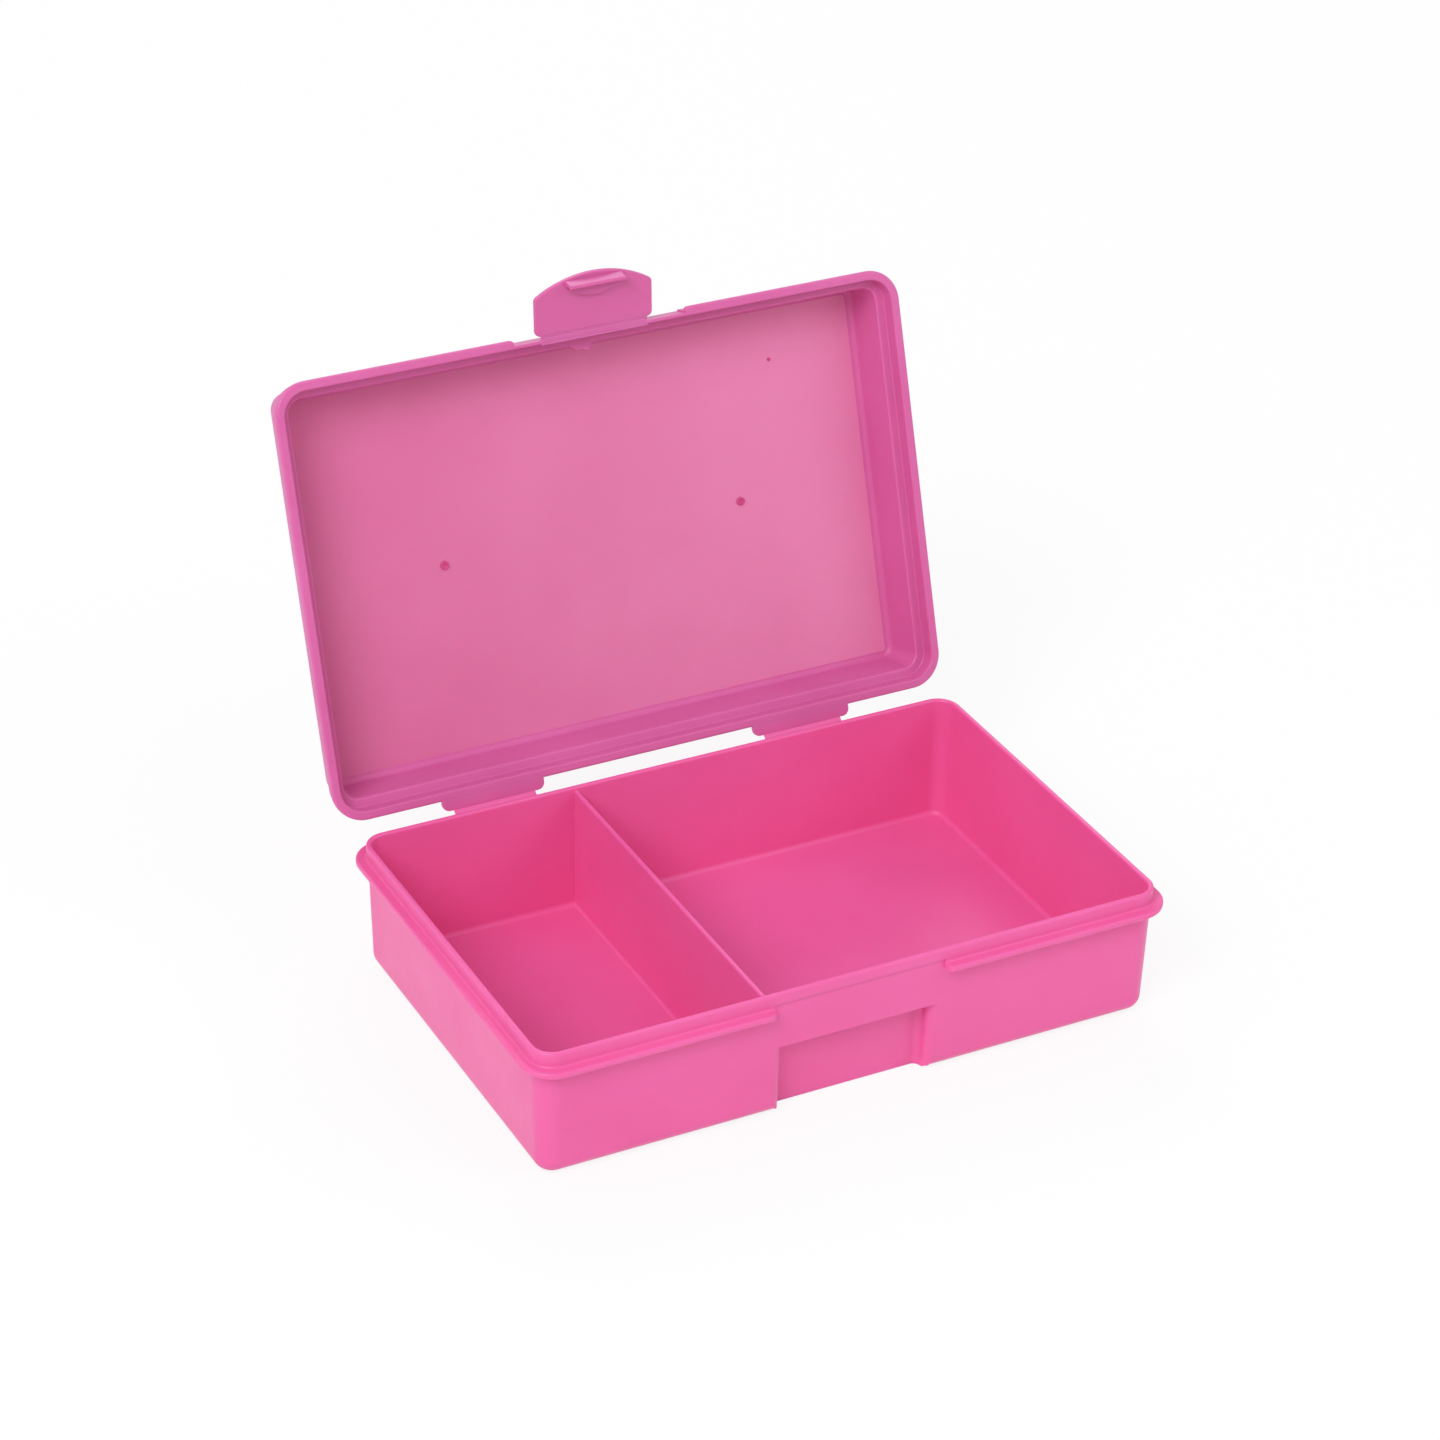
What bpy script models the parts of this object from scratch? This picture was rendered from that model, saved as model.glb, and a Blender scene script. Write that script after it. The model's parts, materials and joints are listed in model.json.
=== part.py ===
"""A divided lunch box: a tub, a hinged lid and a latch that folds over the front.

Metres, +Z up, +X along the length, +Y towards the hinges.  The origin is the
middle of the underside.  The lid stands open, with its latch nearly straight.
"""

from math import cos, radians, sin, sqrt

import bmesh
import bpy
from mathutils import Matrix, Vector

# Overall sizes
LENGTH = 0.185            # over the flanges
WIDTH = 0.119             # over the flanges
PARTING_HEIGHT = 0.034    # the level where the tub and the closed lid meet
LIP_HEIGHT = 0.004        # the tub's lip above that level
LID_HEIGHT = 0.0194       # the closed lid's top above that level
CORNER_RADIUS = 0.0064    # of the lip, seen from above
SHARPEST_CORNER = 0.0004  # the least radius in plan, however far in the wall steps

# Walls and edges
WALL = 0.0014
LIP_WALL = 0.0015
FLOOR = 0.0014
FLANGE_REACH = 0.0028     # from the lip's outer face to the flange's edge
FLANGE_THICKNESS = 0.0018
FLANGE_ROUND = 0.0006
LIP_BAND = 0.0030         # the height of the lip's own outer face
LIP_STEP = 0.0005         # the tub's wall lies this far inside the lip's face
LIP_FOOT = 0.0007         # fillet between the lip and the flange
TUB_DRAFT = 0.0008        # how far the tub's wall leans in towards the floor
TUB_EDGE_RADIUS = 0.0040
TUB_INNER_RADIUS = 0.0010
LID_DRAFT = 0.0011
LID_EDGE_RADIUS = 0.0030
POCKET_DEPTH = 0.0046     # the room in the lid's rim for the lip
POCKET_STEP = 0.0026      # how far the lid's wall stands in from that room
SOFT_EDGE = 0.0004

# Clearances
GAP = 0.0003              # between neighbouring pieces
LIP_CLEARANCE = 0.0003    # round the lip when the lid is closed

# Divider
DIVIDER_X = -0.0266
DIVIDER_THICKNESS = 0.0014
DIVIDER_DROP = 0.0010     # its top below the lip's top

# Hinges
HINGE_SPACING = 0.094
HINGE_WIDTH = 0.030
HINGE_THICKNESS = 0.0014
HINGE_CORNER = 0.0020
HINGE_REACH = 0.0036      # from the flange's edge to the hinge axis
FILM_WIDTH = 0.024
FILM_RADIUS = 0.0003
OPEN_ANGLE = 108.1        # degrees, the lid's angle from closed

# Front latch
FINGER_RECESS_WIDTH = 0.0424
FINGER_RECESS_HEIGHT = 0.0211
FINGER_RECESS_DEPTH = 0.0053
FINGER_RECESS_ROUND = 0.0026
FLANGE_GAP_WIDTH = 0.0492
FLANGE_END_ROUND = 0.0025
RIM_NOTCH_WIDTH = 0.0510
RIM_NOTCH_ROUND = 0.0012
RIM_NOTCH_WALL = 0.0009   # what the notch leaves of the lid's front wall
LATCH_WIDTH = 0.0346
LATCH_THICKNESS = 0.0014
LATCH_RISE = 0.0052       # of the curved tip over the latch's width
LATCH_ROOT_CORNER = 0.0016
LATCH_TIP_CORNER = 0.0014
LATCH_FILM_WIDTH = 0.0315
LATCH_STAND_OFF = 0.0004  # the latch's inner face in from its hinge axis
LATCH_REST_ANGLE = 15.0   # degrees, folded down from the lid's own plane
HOOK_WIDTH = 0.0167
HOOK_THICKNESS = 0.0016
HOOK_BITE = 0.0010        # how far it reaches under the catch wall
HOOK_CLEARANCE = 0.00025
HOOK_MARGIN = 0.0013      # between the hook and the latch's tip
PARTING_GAP = 0.0003

# Rib inside the lid's front wall
RIB_X = -0.0025
RIB_WIDTH = 0.0080
RIB_REACH = 0.0024
RIB_HEIGHT = 0.0040

CORNER_STEPS = 7
EDGE_STEPS = 4

# Worked out from the sizes above
HALF_LENGTH = LENGTH / 2 - FLANGE_REACH   # to the lip's outer face
HALF_WIDTH = WIDTH / 2 - FLANGE_REACH
LIP_TOP = PARTING_HEIGHT + LIP_HEIGHT
FLANGE_TOP = PARTING_HEIGHT - PARTING_GAP / 2
RIM_FACE = PARTING_GAP / 2                # above the parting level
HINGE_Y = WIDTH / 2 + HINGE_REACH
LATCH_HINGE_HEIGHT = RIM_FACE + FILM_RADIUS   # above the parting level
RIM_NOTCH_Y = -(HALF_WIDTH + LIP_CLEARANCE + RIM_NOTCH_WALL)
LATCH_HINGE_Y = RIM_NOTCH_Y - FILM_RADIUS - GAP
LATCH_ROOT = FILM_RADIUS + GAP

PINK = (0.87, 0.13, 0.38, 1.0)
PALE_PINK = (0.76, 0.17, 0.38, 1.0)


# ---------------------------------------------------------------- helpers

def new_collection(name):
    collection = bpy.data.collections.new(name)
    bpy.context.scene.collection.children.link(collection)
    return collection


def plastic(name, colour, roughness):
    material = bpy.data.materials.new(name)
    material.use_nodes = True
    shader = material.node_tree.nodes["Principled BSDF"]
    shader.inputs["Base Color"].default_value = colour
    shader.inputs["Roughness"].default_value = roughness
    shader.inputs["Metallic"].default_value = 0.0
    material.diffuse_color = colour
    return material


def add_object(name, mesh, collection, parent=None, colour=PINK, roughness=0.4):
    """Turns a bmesh into an object, in its parent's frame."""
    data = bpy.data.meshes.new(name)
    mesh.to_mesh(data)
    mesh.free()
    data.shade_smooth()
    data.set_sharp_from_angle(angle=radians(35))
    piece = bpy.data.objects.new(name, data)
    collection.objects.link(piece)
    piece.parent = parent
    if collection is not cutters:
        data.materials.append(plastic(name, colour, roughness))
    return piece


def add_empty(name, location, turn, parent=None):
    """A joint's frame: it lies on the joint's axis and turns about X."""
    empty = bpy.data.objects.new(name, None)
    empty.empty_display_size = 0.01
    empty.location = location
    empty.rotation_euler = (turn, 0, 0)
    empty.parent = parent
    box.objects.link(empty)
    return empty


def arc(centre, radius, start, end, steps=EDGE_STEPS):
    """Points on an arc, from one angle in degrees to another; a sharp corner is one point."""
    if radius == 0.0:
        return [centre]
    angles = [radians(start + (end - start) * step / steps) for step in range(steps + 1)]
    return [(centre[0] + radius * cos(angle), centre[1] + radius * sin(angle)) for angle in angles]


def rounded_outline(offset, centre_y=0.0):
    """The lip's outline in plan, moved outwards by the offset."""
    radius = max(CORNER_RADIUS + offset, SHARPEST_CORNER)
    x = HALF_LENGTH + offset - radius
    y = HALF_WIDTH + offset - radius
    outline = []
    for corner, (side_x, side_y) in enumerate(((1, 1), (-1, 1), (-1, -1), (1, -1))):
        centre = (side_x * x, centre_y + side_y * y)
        outline += arc(centre, radius, 90 * corner, 90 * corner + 90, CORNER_STEPS)
    return outline


def notch_outline(width, back_y, mouth_y, back_round, mouth_round, outside):
    """A notch in the front, in plan: flared at its mouth and rounded at its back."""
    half = width / 2
    right = [(half + mouth_round, outside)] if mouth_y > outside else []
    right += arc((half + mouth_round, mouth_y + mouth_round), mouth_round, 270, 180)
    right += arc((half - back_round, back_y - back_round), back_round, 0, 90)
    left = [(-x, y) for x, y in reversed(right)]
    return right + left


def loft(sections):
    """A closed solid through sections: outlines in plan, anticlockwise, and their heights.

    They run from the face that looks down to the face that looks up.
    """
    mesh = bmesh.new()
    rings = [[mesh.verts.new((x, y, height)) for x, y in outline] for outline, height in sections]
    for first, second in zip(rings, rings[1:]):
        for index in range(len(first)):
            mesh.faces.new((first[index - 1], first[index], second[index], second[index - 1]))
    mesh.faces.new(reversed(rings[0]))
    mesh.faces.new(rings[-1])
    return mesh


def prism(outline, low, high):
    return loft([(outline, low), (outline, high)])


def block(low, high):
    """A box between two corners."""
    mesh = bmesh.new()
    bmesh.ops.create_cube(mesh, size=1.0)
    low, high = Vector(low), Vector(high)
    bmesh.ops.scale(mesh, vec=high - low, verts=mesh.verts)
    bmesh.ops.translate(mesh, vec=(low + high) / 2, verts=mesh.verts)
    return mesh


def boolean(piece, cutter, operation):
    modifier = piece.modifiers.new(cutter.name, "BOOLEAN")
    modifier.object = cutter
    modifier.operation = operation
    modifier.solver = "EXACT"
    cutter.hide_render = True
    cutter.display_type = "WIRE"


def soften(piece, width, segments=2, angle=40):
    modifier = piece.modifiers.new("soft edges", "BEVEL")
    modifier.width = width
    modifier.segments = segments
    modifier.limit_method = "ANGLE"
    modifier.angle_limit = radians(angle)


# ------------------------------------------------------------------- tub

def tub_wall(height, inner=False):
    """The offset of the tub's wall from the lip's face, at a height."""
    low = TUB_EDGE_RADIUS
    high = FLANGE_TOP - FLANGE_THICKNESS
    lean = TUB_DRAFT * (high - height) / (high - low)
    return -LIP_STEP - lean - (WALL if inner else 0.0)


def tub_profile():
    """Offset and height, from the underside out over the lip and in to the floor."""
    under = FLANGE_TOP - FLANGE_THICKNESS
    edge = FLANGE_REACH - FLANGE_ROUND
    foot_out = tub_wall(TUB_EDGE_RADIUS)
    profile = arc((foot_out - TUB_EDGE_RADIUS, TUB_EDGE_RADIUS), TUB_EDGE_RADIUS, 270, 360, 6)
    profile += [(-LIP_STEP, under)]
    profile += arc((edge, under + FLANGE_ROUND), FLANGE_ROUND, 270, 360)
    profile += arc((edge, FLANGE_TOP - FLANGE_ROUND), FLANGE_ROUND, 0, 90)
    profile += arc((LIP_FOOT, FLANGE_TOP + LIP_FOOT), LIP_FOOT, 270, 180)
    half_lip = LIP_WALL / 2
    profile += arc((-half_lip, LIP_TOP - half_lip), half_lip, 0, 180, 8)
    foot = FLOOR + TUB_INNER_RADIUS
    wall_foot = tub_wall(foot, inner=True)
    profile += arc((wall_foot - TUB_INNER_RADIUS, foot), TUB_INNER_RADIUS, 360, 270)
    return profile


def make_tub():
    sections = [(rounded_outline(offset), height) for offset, height in tub_profile()]
    tub = add_object("base_tub", loft(sections), box)

    front = -HALF_WIDTH
    wall_y = front + LIP_STEP
    shell, hollow = [], []
    for height in (FLOOR - GAP, FINGER_RECESS_HEIGHT + WALL):
        lean = -tub_wall(height) - LIP_STEP
        middle = front - tub_wall(max(height, TUB_EDGE_RADIUS), inner=True) - GAP
        back_y = wall_y + lean + FINGER_RECESS_DEPTH
        shell.append((notch_outline(FINGER_RECESS_WIDTH + 2 * WALL, back_y + WALL, middle,
                                    FINGER_RECESS_ROUND + WALL, 0.0, middle), height))
    for height in (-WALL, FINGER_RECESS_HEIGHT):
        lean = -tub_wall(height) - LIP_STEP
        back_y = wall_y + lean + FINGER_RECESS_DEPTH
        hollow.append((notch_outline(FINGER_RECESS_WIDTH, back_y, wall_y + lean, FINGER_RECESS_ROUND,
                                     FINGER_RECESS_ROUND, front - WALL), height))
    boolean(tub, add_object("recess_shell", loft(shell), cutters), "UNION")
    boolean(tub, add_object("finger_recess", loft(hollow), cutters), "DIFFERENCE")
    gap = notch_outline(FLANGE_GAP_WIDTH, wall_y, front - FLANGE_REACH, 0.0,
                        FLANGE_END_ROUND, front - 2 * FLANGE_REACH)
    flange_gap = prism(gap, FLANGE_TOP - 2 * FLANGE_THICKNESS, LIP_TOP - LIP_BAND)
    boolean(tub, add_object("flange_gap", flange_gap, cutters), "DIFFERENCE")
    return tub


def make_divider():
    """The wall between the two compartments, fitted to the tub's leaning sides."""
    low = FLOOR + GAP
    high = LIP_TOP - DIVIDER_DROP
    sections = []
    for height, half_thickness in ((low, DIVIDER_THICKNESS * 0.6), (high, DIVIDER_THICKNESS * 0.5)):
        foot = TUB_INNER_RADIUS if height == low else 0.0
        half = HALF_WIDTH + min(tub_wall(height, inner=True), -LIP_WALL) - GAP - foot
        outline = [(DIVIDER_X + side_x * half_thickness, side_y * half)
                   for side_x, side_y in ((1, 1), (-1, 1), (-1, -1), (1, -1))]
        sections.append((outline, height))
    divider = add_object("divider_wall", loft(sections), box)
    soften(divider, SOFT_EDGE)
    return divider


# ------------------------------------------------------------------- lid

def lid_profile():
    """Offset and height above the parting level, from the inner top round to the outer top."""
    pocket = LIP_CLEARANCE
    band = pocket + WALL
    bead = RIM_FACE + FLANGE_THICKNESS
    ceiling = RIM_FACE + POCKET_DEPTH
    inner_wall = pocket - POCKET_STEP
    outer_wall = inner_wall + WALL
    shoulder = ceiling + WALL
    edge = FLANGE_REACH - FLANGE_ROUND

    top_out = outer_wall - LID_DRAFT
    profile = arc((top_out - LID_EDGE_RADIUS, LID_HEIGHT - LID_EDGE_RADIUS), LID_EDGE_RADIUS, 90, 0, 6)
    profile += [(outer_wall, shoulder)]
    profile += arc((band - 2 * SOFT_EDGE, shoulder - 2 * SOFT_EDGE), 2 * SOFT_EDGE, 90, 0, 3)
    profile += [(band, bead)]
    profile += arc((edge, bead - FLANGE_ROUND), FLANGE_ROUND, 90, 0)
    profile += arc((edge, RIM_FACE + FLANGE_ROUND), FLANGE_ROUND, 360, 270)
    profile += arc((pocket + SOFT_EDGE / 2, RIM_FACE + SOFT_EDGE / 2), SOFT_EDGE / 2, 270, 180, 2)
    profile += arc((pocket - SOFT_EDGE, ceiling - SOFT_EDGE), SOFT_EDGE, 0, 90, 3)
    profile += arc((inner_wall + SOFT_EDGE, ceiling + SOFT_EDGE), SOFT_EDGE, 270, 180, 3)
    inner_radius = LID_EDGE_RADIUS - WALL
    top_in = inner_wall - LID_DRAFT
    inner_top = LID_HEIGHT - WALL
    profile += arc((top_in - inner_radius, inner_top - inner_radius), inner_radius, 0, 90)
    return profile[::-1]


def make_lid(hinge):
    """The lid, drawn closed in the frame of its hinge, which turns it open."""
    sections = [(rounded_outline(offset, -HINGE_Y), height) for offset, height in lid_profile()]
    lid = add_object("lid_shell", loft(sections), box, hinge, PALE_PINK)
    rim_y = -(HALF_WIDTH + FLANGE_REACH)
    notch = notch_outline(RIM_NOTCH_WIDTH, RIM_NOTCH_Y, rim_y, 0.0, RIM_NOTCH_ROUND, rim_y - WALL)
    notch = [(x, y - HINGE_Y) for x, y in notch]
    cutter = prism(notch, -WALL, RIM_FACE + POCKET_DEPTH + 2 * WALL)
    boolean(lid, add_object("rim_notch", cutter, cutters, hinge), "DIFFERENCE")
    return lid


def make_lid_rib(hinge):
    """A small wedge on the ledge inside the lid's front wall."""
    ledge = RIM_FACE + POCKET_DEPTH
    wall_y = -(HALF_WIDTH + LIP_CLEARANCE - POCKET_STEP) + GAP + LID_DRAFT * RIB_HEIGHT / LID_HEIGHT
    mesh = block((RIB_X - RIB_WIDTH / 2, wall_y - HINGE_Y, ledge + SOFT_EDGE),
                 (RIB_X + RIB_WIDTH / 2, wall_y - HINGE_Y + RIB_REACH, ledge + SOFT_EDGE + RIB_HEIGHT))
    for vert in mesh.verts:
        if vert.co.y > wall_y - HINGE_Y + RIB_REACH / 2:
            vert.co.z = max(vert.co.z, ledge + RIB_HEIGHT * 0.75)
            vert.co.x = RIB_X + (vert.co.x - RIB_X) * 0.4
    return add_object("lid_front_rib", mesh, box, hinge, PALE_PINK)


# ---------------------------------------------------------------- hinges

def leaf(name, side, reach_from, low, parent, colour):
    """A hinge leaf, from a flange's edge to the film, rounded beside the film."""
    x = side * HINGE_SPACING / 2
    half = HINGE_WIDTH / 2
    film = FILM_RADIUS + GAP
    away = 1 if reach_from > 0 else -1
    corner = [(half - HINGE_CORNER + dx, away * (film + HINGE_CORNER - dy))
              for dx, dy in arc((0, 0), HINGE_CORNER, 90, 0)]
    outer = [(half, reach_from)]
    right = corner + outer
    outline = [(x - dx, dy) for dx, dy in right] + [(x + dx, dy) for dx, dy in reversed(right)]
    mesh = prism(outline, low, low + HINGE_THICKNESS)
    return add_object(name, mesh, box, parent, colour)


def film(name, x, width, parent, colour=PINK):
    """The thin web that bends, as a round bead along the hinge axis."""
    mesh = bmesh.new()
    bmesh.ops.create_cone(mesh, cap_ends=True, segments=12, radius1=FILM_RADIUS,
                          radius2=FILM_RADIUS, depth=width)
    bmesh.ops.rotate(mesh, matrix=Matrix.Rotation(radians(90), 3, "Y"), verts=mesh.verts)
    bmesh.ops.translate(mesh, vec=(x, 0, 0), verts=mesh.verts)
    return add_object(name, mesh, box, parent, colour)


def make_hinges(rear_axis, hinge):
    """Two leaves and a film at each side of the rear edge."""
    near = HINGE_REACH - GAP
    below = -PARTING_GAP / 2 - HINGE_THICKNESS
    for word, side in (("left", -1), ("right", 1)):
        leaf("base_hinge_leaf_" + word, side, -near, below, rear_axis, PINK)
        leaf("lid_hinge_leaf_" + word, side, -near, RIM_FACE, hinge, PALE_PINK)
        film("rear_film_" + word, side * HINGE_SPACING / 2, FILM_WIDTH, rear_axis)


# ----------------------------------------------------------------- latch

def hook_drop():
    """From the latch's hinge axis down to the hook, when the box is closed."""
    return PARTING_HEIGHT + LATCH_HINGE_HEIGHT - FINGER_RECESS_HEIGHT + HOOK_CLEARANCE


def latch_length():
    return hook_drop() + HOOK_THICKNESS + HOOK_MARGIN


def latch_outline():
    """The latch's plate: a straight root, straight sides and a curved tip."""
    half = LATCH_WIDTH / 2
    length = latch_length()
    tip_radius = (half * half + LATCH_RISE * LATCH_RISE) / (2 * LATCH_RISE)
    reach = half - LATCH_TIP_CORNER / 2
    drop = tip_radius - sqrt(tip_radius * tip_radius - reach * reach)
    root = arc((half - LATCH_ROOT_CORNER, -(LATCH_ROOT + LATCH_ROOT_CORNER)), LATCH_ROOT_CORNER, 90, 0)
    side = [(half, -(length - LATCH_RISE - LATCH_TIP_CORNER / 2)), (reach, -(length - drop))]
    right = root + side
    steps = 10
    tip = []
    for step in range(1, 2 * steps):
        x = reach * (1 - step / steps)
        tip.append((x, -(length - tip_radius + sqrt(tip_radius * tip_radius - x * x))))
    return ([(-x, y) for x, y in right] + tip[::-1] + right[::-1])


def make_latch(hinge):
    """The plate and its hook, drawn straight out from the latch's hinge."""
    inner = -LATCH_STAND_OFF
    plate_shape = prism(latch_outline(), inner, inner + LATCH_THICKNESS)
    plate = add_object("latch_plate", plate_shape, box, hinge, PALE_PINK)
    soften(plate, SOFT_EDGE * 0.75, angle=60)
    catch_y = -HALF_WIDTH - tub_wall(FINGER_RECESS_HEIGHT)
    reach = catch_y + HOOK_BITE - LATCH_HINGE_Y
    top = hook_drop()
    mesh = block((-HOOK_WIDTH / 2, -top - HOOK_THICKNESS, -reach), (HOOK_WIDTH / 2, -top, inner - GAP))
    hook = add_object("latch_hook", mesh, box, hinge, PALE_PINK)
    soften(hook, SOFT_EDGE)


# ------------------------------------------------------------------ build

for leftover in list(bpy.data.objects):
    bpy.data.objects.remove(leftover, do_unlink=True)

box = new_collection("lunch_box")
cutters = new_collection("cutters")

rear_axis = add_empty("rear_axis", (0, HINGE_Y, PARTING_HEIGHT), 0.0)
lid_hinge = add_empty("lid_hinge", (0, HINGE_Y, PARTING_HEIGHT), -radians(OPEN_ANGLE))
latch_place = (0, LATCH_HINGE_Y - HINGE_Y, LATCH_HINGE_HEIGHT)
latch_axis = add_empty("latch_axis", latch_place, 0.0, lid_hinge)
latch_hinge = add_empty("latch_hinge", latch_place, radians(LATCH_REST_ANGLE), lid_hinge)

make_tub()
make_divider()
make_lid(lid_hinge)
make_lid_rib(lid_hinge)
make_hinges(rear_axis, lid_hinge)
film("latch_film", 0.0, LATCH_FILM_WIDTH, latch_axis, PALE_PINK)
make_latch(latch_hinge)
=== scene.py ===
import json
import math

import bmesh
import bpy
from mathutils import Matrix, Vector


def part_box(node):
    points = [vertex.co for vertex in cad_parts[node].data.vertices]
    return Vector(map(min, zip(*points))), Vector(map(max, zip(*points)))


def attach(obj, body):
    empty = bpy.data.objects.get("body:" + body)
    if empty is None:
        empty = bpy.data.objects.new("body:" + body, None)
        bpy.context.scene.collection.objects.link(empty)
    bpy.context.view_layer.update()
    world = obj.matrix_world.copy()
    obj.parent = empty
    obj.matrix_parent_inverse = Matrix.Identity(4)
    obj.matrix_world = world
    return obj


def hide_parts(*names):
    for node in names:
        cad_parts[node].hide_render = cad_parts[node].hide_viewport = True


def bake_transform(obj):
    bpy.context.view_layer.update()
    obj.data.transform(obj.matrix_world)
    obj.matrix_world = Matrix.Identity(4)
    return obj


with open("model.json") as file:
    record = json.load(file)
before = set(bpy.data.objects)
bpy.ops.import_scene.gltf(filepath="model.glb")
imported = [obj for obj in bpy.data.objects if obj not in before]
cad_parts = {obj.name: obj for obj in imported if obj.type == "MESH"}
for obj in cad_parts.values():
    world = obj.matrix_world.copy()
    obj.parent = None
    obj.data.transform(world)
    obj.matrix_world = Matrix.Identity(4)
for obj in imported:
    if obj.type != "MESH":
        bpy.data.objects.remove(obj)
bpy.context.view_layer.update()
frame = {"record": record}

record = frame["record"]
joints = {joint["name"]: joint for joint in record["behaviour"]["joints"]}

# the lid and the latch are modelled closed, flat and square, then turned to their rest angles
rearAxis = Vector(joints["lid_hinge"]["pos_m"])
latchAxisAtRest = Vector(joints["latch_hinge"]["pos_m"])
openAngle = -math.radians(joints["lid_hinge"]["range_deg"][0])
lidTurn = Matrix.Translation(rearAxis) @ Matrix.Rotation(-openAngle, 4, "X")
latchSpot = lidTurn.inverted() @ latchAxisAtRest        # the latch's axis, seen from the lid's
latchFold = math.radians(90 - joints["latch_hinge"]["range_deg"][1])
latchTurn = Matrix.Translation(latchAxisAtRest) @ Matrix.Rotation(-openAngle + latchFold, 4, "X")

tubLow, tubHigh = (Vector(corner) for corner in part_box("base_tub"))
halfLength, halfWidth, tubTop = tubHigh.x, tubHigh.y, tubHigh.z
partingLevel = rearAxis.z

rim = {
    "reach": 0.0028,          # flange edge beyond the lip
    "corner": 0.0064,         # plan radius at the lip
    "cornerSteps": 14,
    "flange": 0.0018,
    "gap": 0.00015,           # half of the parting gap
}
lipLength, lipWidth = halfLength - rim["reach"], halfWidth - rim["reach"]


# small modelling moves

def only(piece):
    if bpy.context.object and bpy.context.object.mode != "OBJECT":
        bpy.ops.object.mode_set(mode="OBJECT")
    bpy.ops.object.select_all(action="DESELECT")
    piece.select_set(True)
    bpy.context.view_layer.objects.active = piece


def edit(piece):
    only(piece)
    bpy.ops.object.mode_set(mode="EDIT")


def leave(piece):
    bpy.ops.object.mode_set(mode="OBJECT")
    return piece


def pick(piece, kind, test):      # selects by place or normal, in edit mode
    bpy.ops.mesh.select_mode(type={"verts": "VERT", "edges": "EDGE", "faces": "FACE"}[kind])
    bpy.ops.mesh.select_all(action="DESELECT")
    mesh = bmesh.from_edit_mesh(piece.data)
    found = 0
    for item in getattr(mesh, kind):
        if test(item):
            item.select_set(True)
            found += 1
    mesh.select_flush_mode()
    bmesh.update_edit_mesh(piece.data)
    return found


def outward(piece):               # closes edit mode with every face looking out
    bpy.ops.mesh.select_all(action="SELECT")
    bpy.ops.mesh.normals_make_consistent(inside=False)
    leave(piece)
    mesh = bmesh.new()
    mesh.from_mesh(piece.data)
    if mesh.calc_volume(signed=True) < 0:
        bmesh.ops.reverse_faces(mesh, faces=mesh.faces)
        mesh.to_mesh(piece.data)
    mesh.free()
    return piece


def drawLine(name, points, corners=()):
    # one vertex pulled from point to point, then its corners rounded
    points = [Vector(point) for point in points]
    bpy.ops.object.select_all(action="DESELECT")
    bpy.ops.mesh.primitive_plane_add(size=0.001)
    piece = bpy.context.object
    piece.name = name
    bpy.ops.object.mode_set(mode="EDIT")
    bpy.ops.mesh.select_mode(type="VERT")
    bpy.ops.mesh.select_all(action="SELECT")
    bpy.ops.mesh.merge(type="CENTER")
    bpy.ops.transform.translate(value=points[0])
    for here, there in zip(points, points[1:]):
        bpy.ops.mesh.extrude_region_move(TRANSFORM_OT_translate={"value": there - here})
    for index, radius, steps in corners:
        pick(piece, "verts", lambda vert: (vert.co - points[index]).length < 1e-6)
        bpy.ops.mesh.bevel(offset=radius, segments=steps, affect="VERTICES")
    return piece


def slab(name, points, corners, low, high):
    # a flat outline filled and pulled up
    piece = drawLine(name, [(x, y, low) for x, y in points], corners)
    bpy.ops.mesh.select_all(action="SELECT")
    bpy.ops.mesh.edge_face_add()
    bpy.ops.mesh.extrude_region_move(TRANSFORM_OT_translate={"value": (0, 0, high - low)})
    return outward(piece)


def sweepRound(name, profile, corners):
    # the profile spun round one corner, run out to the middle lines, then mirrored
    centre = Vector((lipLength - rim["corner"], lipWidth - rim["corner"], 0))
    points = [(centre.x + rim["corner"] + out, centre.y, up) for out, up in profile]
    piece = drawLine(name, points, corners)
    bpy.ops.mesh.select_all(action="SELECT")
    bpy.ops.mesh.spin(steps=rim["cornerSteps"], angle=math.pi / 2, center=centre, axis=(0, 0, -1))
    for axis in (0, 1):
        pick(piece, "verts", lambda vert: abs(vert.co[axis] - centre[axis]) < 1e-6)
        run = Vector((0, 0, 0))
        run[axis] = -centre[axis]
        bpy.ops.mesh.extrude_region_move(TRANSFORM_OT_translate={"value": run})
    leave(piece)
    mirror = piece.modifiers.new("quarters", "MIRROR")
    mirror.use_axis[1] = True
    mirror.merge_threshold = 0.00001
    bpy.ops.object.modifier_apply(modifier="quarters")
    edit(piece)
    for _, level in (profile[0], profile[-1]):
        pick(piece, "edges", lambda edge: edge.is_boundary
             and all(abs(vert.co.z - level) < 1e-6 for vert in edge.verts))
        bpy.ops.mesh.edge_face_add()
    bpy.ops.mesh.select_all(action="SELECT")
    bpy.ops.mesh.remove_doubles(threshold=0.000002)
    return outward(piece)


def combine(piece, other, operation):     # joins or cuts, then throws the other away
    only(piece)
    change = piece.modifiers.new("change", "BOOLEAN")
    change.object = other
    change.operation = operation
    bpy.ops.object.modifier_apply(modifier="change")
    bpy.data.objects.remove(other, do_unlink=True)


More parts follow.
